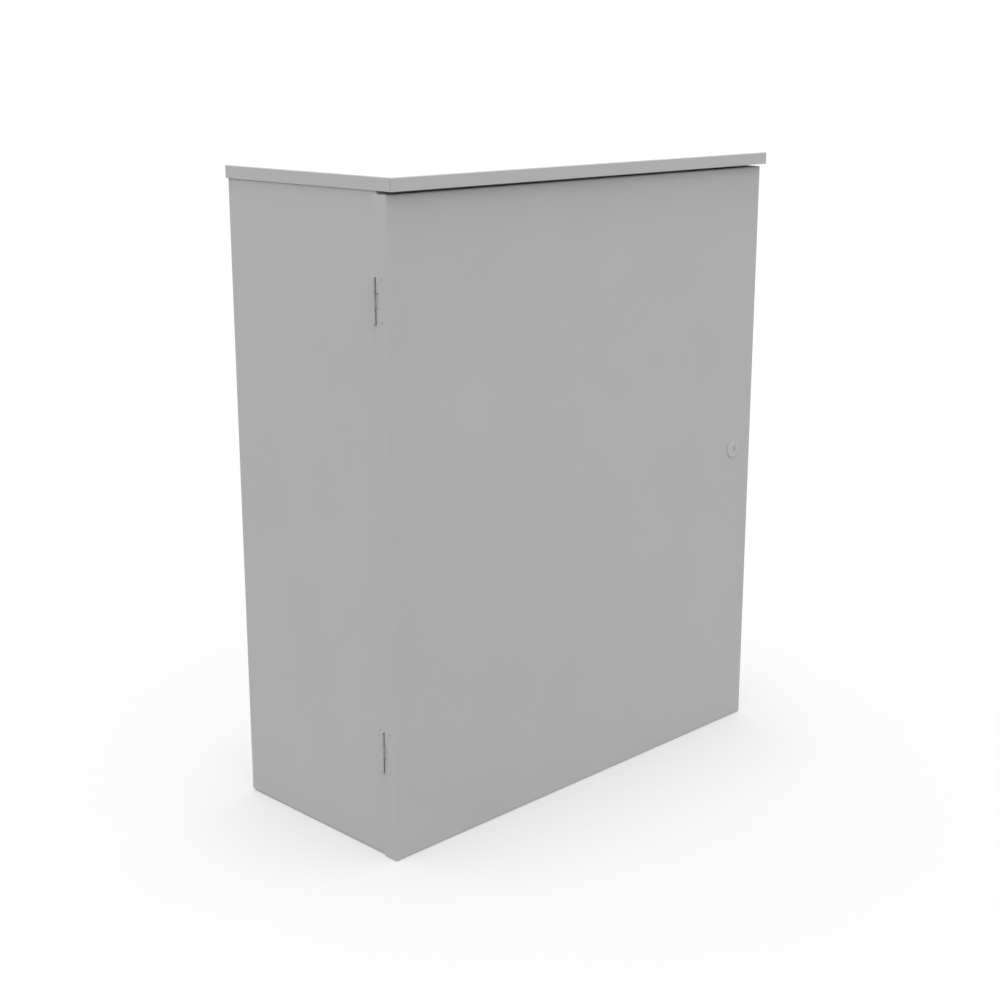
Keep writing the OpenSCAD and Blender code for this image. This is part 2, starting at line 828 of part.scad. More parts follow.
// Notch in the door's return around a barrel, deeper where the door's tongue passes
module hinge_notch() {
    notch_h = barrel_h + 2 * (pin_head_h + notch_gap);
    tongue_h = knuckle_h + 2 * slot_gap;
    depth = barrel_r + notch_gap;
    tongue_depth = tongue_lap - door_leaf_v + slot_gap;
    width = return_u + overrun + slot_gap;
    translate([-overrun, -depth, -notch_h / 2]) cube([width, depth + overrun, notch_h]);
    translate([-overrun, -tongue_depth, -tongue_h / 2])
        cube([width, tongue_depth + overrun, tongue_h]);
}

// Section through the lock's barrel with its two flats
module lock_barrel_section(fit) {
    flat = lock_flat + fit;
    intersection() {
        circle(lock_barrel_r + fit);
        square([2 * (lock_barrel_r + fit), 2 * flat], center = true);
    }
}

// Places a shape on the door's face at the lock, with Z to the front and Y up
module at_lock() {
    translate([lock_x, y_door, z_mid]) to_front() children();
}

module door_panel() {
    trim = [cabinet_w - 2 * sheet, door_lap + return_gap + overrun, sheet + 2 * overrun];
    color(paint) difference() {
        translate([0, y_door, door_foot_gap]) folded_tray(cabinet_w, door_h, door_depth, fold_r);
        for (z = [door_foot_gap - overrun, door_top - sheet - overrun])
            translate([sheet - cabinet_w / 2, y_door + head_return, z]) cube(trim);
        for (z = hinge_z) translate([hinge_x, hinge_y, z]) {
            hinge_notch();
            at_hinge_screws() flat_screw_hole(hinge_screw_head_r, hinge_screw_r, sheet, thread_fit);
        }
        at_lock() translate([0, 0, -sheet - overrun]) linear_extrude(height = sheet + 2 * overrun)
            lock_barrel_section(lock_fit);
    }
}

// Foam ring on the door's inner face, centred on the collar's lip
module door_gasket() {
    mid_x = collar_x + sheet / 2;
    mid_h = collar_z1 - collar_z0 + sheet;
    color(foam) translate([0, y_door + sheet, collar_z0 + (collar_z1 - collar_z0) / 2]) to_back()
        linear_extrude(height = gasket_t) difference() {
            square([2 * mid_x + gasket_w, mid_h + gasket_w], center = true);
            square([2 * mid_x - gasket_w, mid_h - gasket_w], center = true);
        }
}

module door_stiffener() {
    color(paint) translate([0, y_door + sheet, collar_z0 + stiffener_end])
        linear_extrude(height = collar_z1 - collar_z0 - 2 * stiffener_end)
            hat_section(stiffener_foot, stiffener_top, stiffener_d, stiffener_t);
}

module lock_housing() {
    bore = plug_r + plug_fit;
    color(lock_metal) at_lock() {
        rotate_extrude() polygon([
            [bore, 0], [rosette_r, 0], [rosette_r, rosette_edge],
            [rosette_r - rosette_bevel, rosette_h], [bore, rosette_h]
        ]);
        translate([0, 0, -lock_barrel_l]) linear_extrude(height = lock_barrel_l + overrun) difference() {
            lock_barrel_section(0);
            circle(bore);
        }
    }
}

module lock_washer() {
    color(foam) at_lock() translate([0, 0, -sheet - washer_t])
        ring(rosette_r - washer_edge, lock_barrel_r + lock_fit, washer_t);
}

module lock_nut() {
    color(zinc) at_lock() translate([0, 0, -sheet - washer_t - lock_nut_t])
        hex_nut(lock_nut_r, lock_barrel_r + thread_fit, lock_nut_t);
}

module lock_plug() {
    face = rosette_h - plug_recess;
    drive = cam_gap + cam_t - drive_short;
    color(lock_metal) at_lock() difference() {
        union() {
            translate([0, 0, -lock_barrel_l]) cylinder(r = plug_r, h = lock_barrel_l + face);
            translate([-drive_w / 2, -drive_w / 2, -lock_barrel_l - drive])
                cube([drive_w, drive_w, drive + overrun]);
        }
        translate([-key_w / 2, -key_l / 2, face - shutter_depth]) cube([key_w, key_l, shutter_depth + overrun]);
        translate([0, 0, -lock_barrel_l - drive - overrun])
            cylinder(r = cam_screw_r + thread_fit, h = cam_screw_l + overrun);
    }
}

module lock_cam() {
    hole = drive_w + 2 * drive_fit;
    tip = cam_reach - cam_w / 2;
    color(zinc) at_lock() translate([0, 0, -lock_barrel_l - cam_gap - cam_t])
        linear_extrude(height = cam_t) difference() {
            union() {
                circle(cam_w / 2);
                translate([-cam_w / 2, 0]) square([cam_w, tip]);
                translate([0, tip]) circle(cam_w / 2);
            }
            square(hole, center = true);
        }
}

module cam_screw() {
    color(zinc) at_lock() translate([0, 0, -lock_barrel_l - cam_gap - cam_t]) mirror([0, 0, 1])
        pan_screw(cam_head_r, cam_head_h, cam_screw_r, cam_screw_l - drive_short);
}

body_wrapper();
top_panel();
bottom_panel();
rain_hood();
hood_nuts();
gland_plate();
gland_gasket();
gland_screws();
gland_nuts();
backboard();
backboard_studs();
backboard_washers();
backboard_nuts();
terminal_block(0);  // terminal_block_1
terminal_block(1);  // terminal_block_2
terminal_block(2);  // terminal_block_3
terminal_block(3);  // terminal_block_4
block_bracket(0);  // block_bracket_1
block_bracket(1);  // block_bracket_2
block_bracket(2);  // block_bracket_3
block_bracket(3);  // block_bracket_4
bracket_screws();
earth_bar();
earth_post(-1);  // earth_post_left
earth_post(1);  // earth_post_right
earth_bolts();
earth_screws();
cable_ring(0);  // cable_ring_1
cable_ring(1);  // cable_ring_2
cable_ring(2);  // cable_ring_3
cable_ring(3);  // cable_ring_4
ring_screws();
body_leaf(hinge_z[0]);  // upper_body_leaf
body_leaf(hinge_z[1]);  // lower_body_leaf
hinge_pin(hinge_z[0]);  // upper_hinge_pin
hinge_pin(hinge_z[1]);  // lower_hinge_pin
door_panel();
door_gasket();
door_stiffener();
door_leaf(hinge_z[0]);  // upper_door_leaf
door_leaf(hinge_z[1]);  // lower_door_leaf
hinge_screws();
lock_housing();
lock_washer();
lock_nut();
lock_plug();
lock_cam();
cam_screw();
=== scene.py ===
"""Looks of an outdoor telephone cabinet: powder-coated sheet steel with a rain hood and a lockable
door, and inside a plywood backboard with terminal blocks, an earth bar and cable rings."""

import json
import math

import bmesh
import bpy
from mathutils import Euler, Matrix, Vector


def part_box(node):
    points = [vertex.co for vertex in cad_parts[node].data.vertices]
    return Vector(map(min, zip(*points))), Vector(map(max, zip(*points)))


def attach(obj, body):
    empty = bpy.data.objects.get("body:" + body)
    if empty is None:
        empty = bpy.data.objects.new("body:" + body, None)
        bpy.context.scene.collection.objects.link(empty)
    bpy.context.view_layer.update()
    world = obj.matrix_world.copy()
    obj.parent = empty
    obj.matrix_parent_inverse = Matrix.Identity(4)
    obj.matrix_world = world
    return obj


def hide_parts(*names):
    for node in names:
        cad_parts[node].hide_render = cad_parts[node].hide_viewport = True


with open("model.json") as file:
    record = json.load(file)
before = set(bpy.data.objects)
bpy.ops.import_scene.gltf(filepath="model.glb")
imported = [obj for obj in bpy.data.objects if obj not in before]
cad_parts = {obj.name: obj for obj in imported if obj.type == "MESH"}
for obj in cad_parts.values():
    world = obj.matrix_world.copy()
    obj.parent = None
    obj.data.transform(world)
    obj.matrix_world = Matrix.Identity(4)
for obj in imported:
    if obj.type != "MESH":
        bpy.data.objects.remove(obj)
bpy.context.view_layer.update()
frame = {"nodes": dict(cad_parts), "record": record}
nodes = frame["nodes"]
scene = bpy.context.scene

MM = 0.001


# Helpers

def srgb(code):
    """A hex colour as the linear numbers that Blender's sockets take."""
    steps = [int(code[i:i + 2], 16) / 255 for i in (1, 3, 5)]
    return [c / 12.92 if c <= 0.04045 else ((c + 0.055) / 1.055) ** 2.4 for c in steps] + [1.0]


def per_mm(*sizes):
    """Scale of a pattern whose marks are so many mm long, as one number or as one for each axis."""
    scales = [1 / (size * MM) for size in sizes]
    return scales if len(scales) > 1 else scales[0]


def add(tree, kind, settings=None, stops=(), **inputs):
    """Adds a node with its settings, its colour ramp's places and hex colours, and its inputs, named with
    _ for a space. A number after the name picks one of several inputs of that name, as in Value_1. An
    input is a value, another node's output, or another node, which then gives its first output."""
    node = tree.nodes.new(kind)
    for name, value in (settings or {}).items():
        setattr(node, name, value)
    for i, (place, code) in enumerate(stops):
        points = node.color_ramp.elements
        point = points[i] if i < len(points) else points.new(place)
        point.position = place
        point.color = srgb(code)
    for name, value in inputs.items():
        label, _, index = name.rpartition("_")
        if not index.isdigit():
            label, index = name, 0
        socket = [s for s in node.inputs if s.enabled and s.name.replace(" ", "_") == label][int(index)]
        if isinstance(value, bpy.types.Node):
            value = next(s for s in value.outputs if s.enabled)
        if isinstance(value, bpy.types.NodeSocket):
            tree.links.new(value, socket)
        else:
            socket.default_value = value
    return node


def start(name):
    """A new material, its empty tree, and the places and directions on the object, in metres."""
    finish = bpy.data.materials.new(name)
    finish.use_nodes = True
    tree = finish.node_tree
    tree.nodes.clear()
    return finish, tree, add(tree, "ShaderNodeTexCoord").outputs


# Materials

def powder_coat():
    """Polyester powder coat on sheet steel. The baked film flows out to an even satin grey, with the
    shallow orange peel of the melted grains, a film that is a trace thicker in places, and no grain. The
    peel's waves are drawn a little longer than real ones, so that they show."""
    finish, tree, place = start("powder_coat_grey")
    film = add(tree, "ShaderNodeTexNoise", Vector=place["Object"], Scale=per_mm(160))
    grey = add(tree, "ShaderNodeValToRGB", stops=[(0.3, "#a8a8a8"), (0.7, "#aaaaaa")], Fac=film)
    peel = add(tree, "ShaderNodeTexNoise", Vector=place["Object"], Scale=per_mm(2.4), Detail=1.0)
    rough = add(tree, "ShaderNodeMapRange", Value=peel, To_Min=0.46, To_Max=0.56)
    bump = add(tree, "ShaderNodeBump", Height=peel, Strength=0.1, Distance=0.2 * MM)
    coat = add(tree, "ShaderNodeBsdfPrincipled", Base_Color=grey, Roughness=rough, IOR=1.5, Normal=bump)
    add(tree, "ShaderNodeOutputMaterial", Surface=coat)
    return finish


def zinc_plate():
    """Zinc plating on steel screws, nuts and wire: a bright grey with a cold and a warm tint by turns
    from the passivation, and the matt of the plated crystals, drawn coarser than it is so that it shows."""
    finish, tree, place = start("zinc_plated_steel")
    tint = add(tree, "ShaderNodeTexNoise", Vector=place["Object"], Scale=per_mm(9))
    grey = add(tree, "ShaderNodeValToRGB", stops=[(0.35, "#b9bec4"), (0.5, "#c3c4c4"), (0.68, "#c6c2b4")],
               Fac=tint)
    crystals = add(tree, "ShaderNodeTexNoise", Vector=place["Object"], Scale=per_mm(0.5))
    rough = add(tree, "ShaderNodeMapRange", Value=crystals, To_Min=0.26, To_Max=0.42)
    plate = add(tree, "ShaderNodeBsdfPrincipled", Base_Color=grey, Metallic=1.0, Roughness=rough)
    add(tree, "ShaderNodeOutputMaterial", Surface=plate)
    return finish


def galvanised_sheet():
    """Hot-dip galvanised sheet: a mosaic of flat zinc crystals, each a little lighter or darker and
    smoother or duller than the next. Noise bends their edges by up to 1.6 mm."""
    finish, tree, place = start("galvanised_sheet")
    wobble = add(tree, "ShaderNodeTexNoise", Vector=place["Object"], Scale=per_mm(7))
    bent = add(tree, "ShaderNodeMix", {"data_type": "VECTOR"}, Factor=1.6 * MM, A=place["Object"],
               B=wobble.outputs["Color"])
    spangle = add(tree, "ShaderNodeTexVoronoi", Vector=bent, Scale=per_mm(11))
    shade = add(tree, "ShaderNodeSeparateColor", Color=spangle.outputs["Color"]).outputs
    grey = add(tree, "ShaderNodeValToRGB", stops=[(0.0, "#a5a8aa"), (0.55, "#b5b7b8"), (1.0, "#c5c7c7")],
               Fac=shade["Red"])
    rough = add(tree, "ShaderNodeMapRange", Value=shade["Green"], To_Min=0.34, To_Max=0.52)
    sheet = add(tree, "ShaderNodeBsdfPrincipled", Base_Color=grey, Metallic=1.0, Roughness=rough)
    add(tree, "ShaderNodeOutputMaterial", Surface=sheet)
    return finish


def satin_nickel():
    """Nickel-plated zinc die casting, bead-blasted before plating: a grey metal with a fine, even sparkle.
    The marks of the beads are drawn about three times their size, so that they show."""
    finish, tree, place = start("satin_nickel_casting")
    bead = add(tree, "ShaderNodeTexVoronoi", Vector=place["Object"], Scale=per_mm(0.35))
    tone = add(tree, "ShaderNodeValToRGB", stops=[(0.1, "#ababab"), (0.8, "#b6b6b6")], Fac=bead)
    rough = add(tree, "ShaderNodeMapRange", Value=bead, To_Min=0.32, To_Max=0.46)
    bump = add(tree, "ShaderNodeBump", Height=bead, Strength=0.15, Distance=0.05 * MM)
    casting = add(tree, "ShaderNodeBsdfPrincipled", Base_Color=tone, Metallic=1.0, Roughness=rough,
                  Normal=bump)
    add(tree, "ShaderNodeOutputMaterial", Surface=casting)
    return finish


def cell_foam():
    """Closed-cell EPDM foam: matt black, with the cut cells showing as an open texture. The cells are drawn
    about three times their size, so that they show."""
    finish, tree, place = start("closed_cell_foam_rubber")
    cells = add(tree, "ShaderNodeTexVoronoi", Vector=place["Object"], Scale=per_mm(1.1))
    black = add(tree, "ShaderNodeValToRGB", stops=[(0.0, "#141415"), (0.6, "#2a2a2b")], Fac=cells)
    bump = add(tree, "ShaderNodeBump", Height=cells, Strength=0.5, Distance=0.4 * MM)
    foam = add(tree, "ShaderNodeBsdfPrincipled", Base_Color=black, Roughness=0.92, Normal=bump)
    add(tree, "ShaderNodeOutputMaterial", Surface=foam)
    return finish


def fir_plywood():
    """Sanded fir plywood: the faces have long wavy rings of pale early wood and browner late wood up the
    board, and the sawn edges show the crossed plies as light and dark stripes."""
    finish, tree, place = start("fir_plywood")
    plies, rings_across = 7, 11.0
    front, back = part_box("backboard")
    ply = (back.y - front.y) / plies
    long_way = add(tree, "ShaderNodeMapping", Vector=place["Object"], Scale=per_mm(120, 120, 420))
    sway = add(tree, "ShaderNodeTexNoise", Vector=long_way, Scale=1.0, Detail=3.0)
    rings = add(tree, "ShaderNodeMath", {"operation": "MULTIPLY"}, Value_0=sway, Value_1=rings_across)
    ring = add(tree, "ShaderNodeMath", {"operation": "PINGPONG"}, Value_0=rings, Value_1=0.5)
    wood = add(tree, "ShaderNodeValToRGB", Fac=ring,
               stops=[(0.0, "#b8915f"), (0.08, "#c29c69"), (0.3, "#cfac7a"), (0.5, "#d5b584")])
    fine_way = add(tree, "ShaderNodeMapping", Vector=place["Object"], Scale=per_mm(1.6, 1.6, 60))
    pores = add(tree, "ShaderNodeTexNoise", Vector=fine_way, Scale=1.0, Detail=2.0)
    streaks = add(tree, "ShaderNodeValToRGB", stops=[(0.35, "#b9a488"), (0.6, "#ffffff")], Fac=pores)
    face = add(tree, "ShaderNodeMix", {"data_type": "RGBA", "blend_type": "MULTIPLY"}, Factor=0.3, A=wood,
               B=streaks)
    depth = add(tree, "ShaderNodeSeparateXYZ", Vector=place["Object"]).outputs["Y"]
    layers = add(tree, "ShaderNodeMath", {"operation": "MULTIPLY_ADD"}, Value_0=depth, Value_1=1 / ply,
                 Value_2=0.5 - front.y / ply)
    layer = add(tree, "ShaderNodeMath", {"operation": "PINGPONG"}, Value_0=layers, Value_1=1.0)
    edge = add(tree, "ShaderNodeValToRGB", stops=[(0.42, "#a1794a"), (0.58, "#cfac7b")], Fac=layer)
    turned = add(tree, "ShaderNodeSeparateXYZ", Vector=place["Normal"]).outputs["Y"]
    flatness = add(tree, "ShaderNodeMath", {"operation": "ABSOLUTE"}, Value_0=turned)
    on_face = add(tree, "ShaderNodeMath", {"operation": "GREATER_THAN"}, Value_0=flatness, Value_1=0.7)
    colour = add(tree, "ShaderNodeMix", {"data_type": "RGBA"}, Factor=on_face, A=edge, B=face)
    bump = add(tree, "ShaderNodeBump", Height=pores, Strength=0.25, Distance=0.3 * MM)
    board = add(tree, "ShaderNodeBsdfPrincipled", Base_Color=colour, Roughness=0.62, Normal=bump)
    add(tree, "ShaderNodeOutputMaterial", Surface=board)
    return finish


def drawn_copper():
    """Hard-drawn copper bar: draw lines along its length, drawn wider than they are so that they show, and
    a thin brown oxide in clouds."""
    finish, tree, place = start("drawn_copper")
    along = add(tree, "ShaderNodeMapping", Vector=place["Object"], Scale=per_mm(70, 0.7, 0.7))
    lines = add(tree, "ShaderNodeTexNoise", Vector=along, Scale=1.0, Detail=2.0)
    bright = add(tree, "ShaderNodeValToRGB", stops=[(0.3, "#bd8262"), (0.7, "#c98f70")], Fac=lines)
    drift = add(tree, "ShaderNodeMapping", Vector=place["Object"], Scale=per_mm(30, 18, 18))
    cloud = add(tree, "ShaderNodeTexNoise", Vector=drift, Scale=1.0, Detail=4.0)
    oxide = add(tree, "ShaderNodeMapRange", Value=cloud, From_Min=0.45, From_Max=0.75, To_Max=0.6)
    colour = add(tree, "ShaderNodeMix", {"data_type": "RGBA"}, Factor=oxide, A=bright, B=srgb("#8d553d"))
    rough = add(tree, "ShaderNodeMapRange", Value=cloud, To_Min=0.2, To_Max=0.46)
    bump = add(tree, "ShaderNodeBump", Height=lines, Strength=0.15, Distance=0.1 * MM)
    bar = add(tree, "ShaderNodeBsdfPrincipled", Base_Color=colour, Metallic=1.0, Roughness=rough, Normal=bump)
    add(tree, "ShaderNodeOutputMaterial", Surface=bar)
    return finish


def ivory_moulding():
    """Moulded PBT of the terminal blocks: ivory, with the spark-eroded matt of the mould, drawn coarser than
    it is so that it shows."""
    finish, tree, place = start("moulded_pbt_ivory")
    down = add(tree, "ShaderNodeMapping", Vector=place["Object"], Scale=per_mm(40, 40, 90))
    flow = add(tree, "ShaderNodeTexNoise", Vector=down, Scale=1.0)
    ivory = add(tree, "ShaderNodeValToRGB", stops=[(0.3, "#d9d5c6"), (0.7, "#dfdccf")], Fac=flow)
    spark = add(tree, "ShaderNodeTexNoise", Vector=place["Object"], Scale=per_mm(0.6))
    rough = add(tree, "ShaderNodeMapRange", Value=spark, To_Min=0.38, To_Max=0.5)
    bump = add(tree, "ShaderNodeBump", Height=spark, Strength=0.12, Distance=0.1 * MM)
    moulding = add(tree, "ShaderNodeBsdfPrincipled", Base_Color=ivory, Roughness=rough, IOR=1.55, Normal=bump)
    add(tree, "ShaderNodeOutputMaterial", Surface=moulding)
    return finish


def red_moulding():
    """Glass-filled polyester of the insulating posts: brick red, mottled by the short fibres."""
    finish, tree, place = start("glass_polyester_red")
    lengthwise = add(tree, "ShaderNodeMapping", Vector=place["Object"], Scale=per_mm(1.2, 3.5, 1.2))
    fibre = add(tree, "ShaderNodeTexNoise", Vector=lengthwise, Scale=1.0, Detail=3.0)
    red = add(tree, "ShaderNodeValToRGB", stops=[(0.3, "#6e2018"), (0.55, "#8a2c20"), (0.75, "#a04b3c")],
              Fac=fibre)
    bump = add(tree, "ShaderNodeBump", Height=fibre, Strength=0.15, Distance=0.1 * MM)
    post = add(tree, "ShaderNodeBsdfPrincipled", Base_Color=red, Roughness=0.38, IOR=1.55, Normal=bump)
    add(tree, "ShaderNodeOutputMaterial", Surface=post)
    return finish


def tinned_bronze():
    """Tin-plated phosphor bronze of the contact clips: soft white metal, with the bronze showing faintly."""
    finish, tree, place = start("tinned_phosphor_bronze")
    wear = add(tree, "ShaderNodeTexNoise", Vector=place["Object"], Scale=per_mm(3))
    tin = add(tree, "ShaderNodeValToRGB", stops=[(0.35, "#bdbcb6"), (0.65, "#c9c3b2")], Fac=wear)
    clip = add(tree, "ShaderNodeBsdfPrincipled", Base_Color=tin, Metallic=1.0, Roughness=0.34)
    add(tree, "ShaderNodeOutputMaterial", Surface=clip)
    return finish


SHEET = galvanised_sheet()
BRONZE = tinned_bronze()
BY_SLOT = {"grey_paint": powder_coat(), "zinc": zinc_plate(), "lock_metal": satin_nickel(),
           "foam": cell_foam(), "plywood": fir_plywood(), "moulding": ivory_moulding(),
           "copper": drawn_copper(), "red_insulator": red_moulding()}
SLOT = {part["node"]: part["material_slot"] for part in frame["record"]["subparts"]}
BODY = {node: body for body, members in frame["record"]["behaviour"]["bodies"].items() for node in members}

for node, slot in SLOT.items():
    coats = nodes[node].data.materials
    coats.clear()
    coats.append(SHEET if node.startswith("block_bracket") else BY_SLOT[slot])


# Making of pieces

def cad_copy(node):
    """A merged copy of a CAD piece."""
    shape = bmesh.new()
    shape.from_mesh(nodes[node].data)
    bmesh.ops.remove_doubles(shape, verts=shape.verts, dist=0.001 * MM)
    return shape


def span(spots):
    """Lowest and highest corner of the box around some spots."""
    return [Vector([pick(spot[i] for spot in spots) for i in range(3)]) for pick in (min, max)]


def middle(spots):
    """Middle of the box around some spots."""
    low, high = span(spots)
    return (low + high) / 2


def solids(node):
    """Spots of the corners of each separate solid of a CAD piece."""
    shape = cad_copy(node)
    waiting = set(shape.verts)
    groups = []
    while waiting:
        reached = [waiting.pop()]
        spots = []
        while reached:
            vert = reached.pop()
            spots.append(vert.co.copy())
            near = {edge.other_vert(vert) for edge in vert.link_edges} & waiting
            waiting -= near
            reached += near
        groups.append(spots)
    shape.free()
    return sorted(groups, key=lambda spots: [round(c, 5) for c in span(spots)[0]])


def settle(mesh, name, corner=35):
    """Names a mesh and shades it smooth, but for the corners that turn by more than some degrees."""
    mesh.name = name
    mesh.shade_smooth()
    mesh.set_sharp_from_angle(angle=math.radians(corner))
    return mesh


def put(name, finish, shape, corner=35):
    """An object from a bmesh, with its faces outward."""
    bmesh.ops.recalc_face_normals(shape, faces=shape.faces)
    mesh = bpy.data.meshes.new(name)
    shape.to_mesh(mesh)
    shape.free()
    mesh.materials.append(finish)
    piece = bpy.data.objects.new(name, settle(mesh, name, corner))
    scene.collection.objects.link(piece)
    return piece


def evaluated(piece):
    """A new mesh with the piece's modifiers worked in."""
    return bpy.data.meshes.new_from_object(piece.evaluated_get(bpy.context.evaluated_depsgraph_get()))


def stand_in(piece, node):
    """Shows a piece in place of a CAD piece, on the same body."""
    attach(piece, BODY[node])
    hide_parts(node)


def repeat_tree():
    """Geometry nodes that set a copy of a piece on every point, all facing one way and each turned a
    little by chance."""
    tree = bpy.data.node_groups.new("set_on_points", "GeometryNodeTree")
    tree.interface.new_socket("Geometry", in_out="INPUT", socket_type="NodeSocketGeometry")
    names = {}
    for label, kind in (("Piece", "Object"), ("Finish", "Material"), ("Facing", "Rotation"),
                        ("Largest Turn", "Float"), ("Seed", "Int")):
        socket = tree.interface.new_socket(label, in_out="INPUT", socket_type="NodeSocket" + kind)
        names[label] = socket.identifier
    tree.interface.new_socket("Geometry", in_out="OUTPUT", socket_type="NodeSocketGeometry")
    given = add(tree, "NodeGroupInput").outputs
    piece = add(tree, "GeometryNodeObjectInfo", Object=given["Piece"])
    chance = add(tree, "FunctionNodeRandomValue", {"data_type": "FLOAT"}, Max=given["Largest Turn"],
                 Seed=given["Seed"])
    spin = add(tree, "FunctionNodeAxisAngleToRotation", Axis=(0, 0, 1), Angle=chance)
    turned = add(tree, "FunctionNodeRotateRotation", {"rotation_space": "LOCAL"}, Rotation=given["Facing"],
                 Rotate_By=spin)
    copies = add(tree, "GeometryNodeInstanceOnPoints", Points=given["Geometry"],
                 Instance=piece.outputs["Geometry"], Rotation=turned)
    real = add(tree, "GeometryNodeRealizeInstances", Geometry=copies)
    coated = add(tree, "GeometryNodeSetMaterial", Geometry=real, Material=given["Finish"])
    add(tree, "NodeGroupOutput", Geometry=coated)
    return tree, names


REPEAT, INPUTS = repeat_tree()


def repeat(name, piece, spots, facing, turn, seed):
    """One mesh with a copy of a piece on every spot. The piece it is copied from goes."""
    points = bpy.data.meshes.new(name + "_points")
    points.from_pydata(spots, [], [])
    group = bpy.data.objects.new(name, points)
    scene.collection.objects.link(group)
    step = group.modifiers.new("set_on_points", "NODES")
    step.node_group = REPEAT
    step[INPUTS["Piece"]] = piece
    step[INPUTS["Finish"]] = piece.data.materials[0]
    step[INPUTS["Facing"]] = facing
    step[INPUTS["Largest Turn"]] = math.radians(turn)
    step[INPUTS["Seed"]] = seed
    mesh = evaluated(group)
    group.modifiers.remove(step)
    group.data = mesh
    mesh.name = name
    bpy.data.objects.remove(piece)
    return group


# Screws, nuts and studs, with sizes in mm

def angles(sides):
    """Directions of the corners of a round with so many sides."""
    return [math.tau * k / sides for k in range(sides)]


def polar(shape, corners):
    """A loop of corners in a bmesh, each from its radius, its direction and its height."""
    return [shape.verts.new((r * MM * math.cos(a), r * MM * math.sin(a), z * MM)) for r, a, z in corners]


def skin(shape, loops, closed=False):
    """Faces from each loop of corners to the next, where a loop may be a single point. Loops that are closed
    to a ring also have faces from the last to the first, and otherwise the two end loops are filled."""
    sides = max(len(loop) for loop in loops)
    for low, high in zip(loops, loops[1:] + (loops[:1] if closed else [])):
        for k in range(sides):
            corners = [loop[i % len(loop)] for loop, i in ((low, k), (low, k + 1), (high, k + 1), (high, k))]
            shape.faces.new(list(dict.fromkeys(corners)))
    for end in [] if closed else [loops[0], loops[-1]]:
        if len(end) > 1:
            shape.faces.new(end)


def turned_shape(profile, sides=24):
    """A bmesh turned round Z from pairs of a radius and a height."""
    shape = bmesh.new()
    skin(shape, [polar(shape, [(r, a, z) for a in angles(sides if r else 1)]) for r, z in profile])
    return shape


def cross_screw(name, finish, profile, top, radius, depth, reach_share=0.55, wing_share=0.3, taper=0.45):
    """A screw turned from its profile, with a tapered cross recess sunk into its head."""
    screw = put(name, finish, turned_shape(profile))
    reach = reach_share * radius
    wing = wing_share * reach
    outline = [(wing, reach), (-wing, reach), (-wing, wing), (-reach, wing), (-reach, -wing), (-wing, -wing),
               (-wing, -reach), (wing, -reach), (wing, -wing), (reach, -wing), (reach, wing), (wing, wing)]
    shape = bmesh.new()
    loops = []
    for z, share in ((top - depth, 1 - taper), (top + depth, 1 + taper)):
        loops.append([shape.verts.new((x * share * MM, y * share * MM, z * MM)) for x, y in outline])
    skin(shape, loops)
    punch = put(name + "_punch", finish, shape)
    step = screw.modifiers.new("cross_recess", "BOOLEAN")
    step.object = punch
    mesh = evaluated(screw)
    screw.modifiers.remove(step)
    screw.data = settle(mesh, name)
    bpy.data.objects.remove(punch)
    return screw


def pan_screw(name, finish, radius, whole, shank, head):
    """Screw with a head that stands on Z = 0, with a dome in shares of the head's radius and height."""
    dome = [(0, 1), (0.45, 0.97), (0.72, 0.84), (0.91, 0.58), (1, 0.25), (1, 0)]
    length = whole - head
    profile = [(radius * r, head * z) for r, z in dome]
    profile += [(shank, 0), (shank, shank - length), (0, -length)]
    return cross_screw(name, finish, profile, top=head, radius=radius, depth=0.55 * head)


def flat_screw(name, finish, radius, whole, shank, head, rim=0.15, tip=0.3):
    """Countersunk screw whose head lies in Z = 0."""
    profile = [(0, 0), (radius - rim, 0), (radius, -rim), (shank, -head), (shank, tip - whole),
               (shank - tip, -whole), (0, -whole)]
    return cross_screw(name, finish, profile, top=0, radius=radius, depth=0.3 * radius)


def hexagon(name, finish, radius, whole, bore, head, countersink=0.4, face_share=0.96, sides=48):
    """Hexagonal nut on Z = 0 with chamfered corners and a countersunk bore, or the head alone of a bolt,
    whose shank is hidden. Each level of it has a radius, or none where it follows the hexagon, a height, and
    a rise towards the corners."""
    sixth, rise = math.radians(60), math.tan(math.radians(30))
    tall = head or whole
    flat = radius * math.cos(sixth / 2)
    face = face_share * flat
    levels = [(face, 0, 0), (None, 0, rise), (None, tall, -rise), (face, tall, 0)]
    if not head:
        mouth = bore + countersink
        levels = [(bore, countersink, 0), (mouth, 0, 0)] + levels
        levels += [(mouth, tall, 0), (bore, tall - countersink, 0)]
    shape = bmesh.new()
    loops = []
    for r, z, slope in levels:
        corners = []
        for a in angles(sides):
            edge = flat / math.cos(a % sixth - sixth / 2)
            corners.append((r or edge, a, z + slope * (edge - face)))
        loops.append(polar(shape, corners))
    skin(shape, loops, closed=not head)
    return put(name, finish, shape, corner=20)


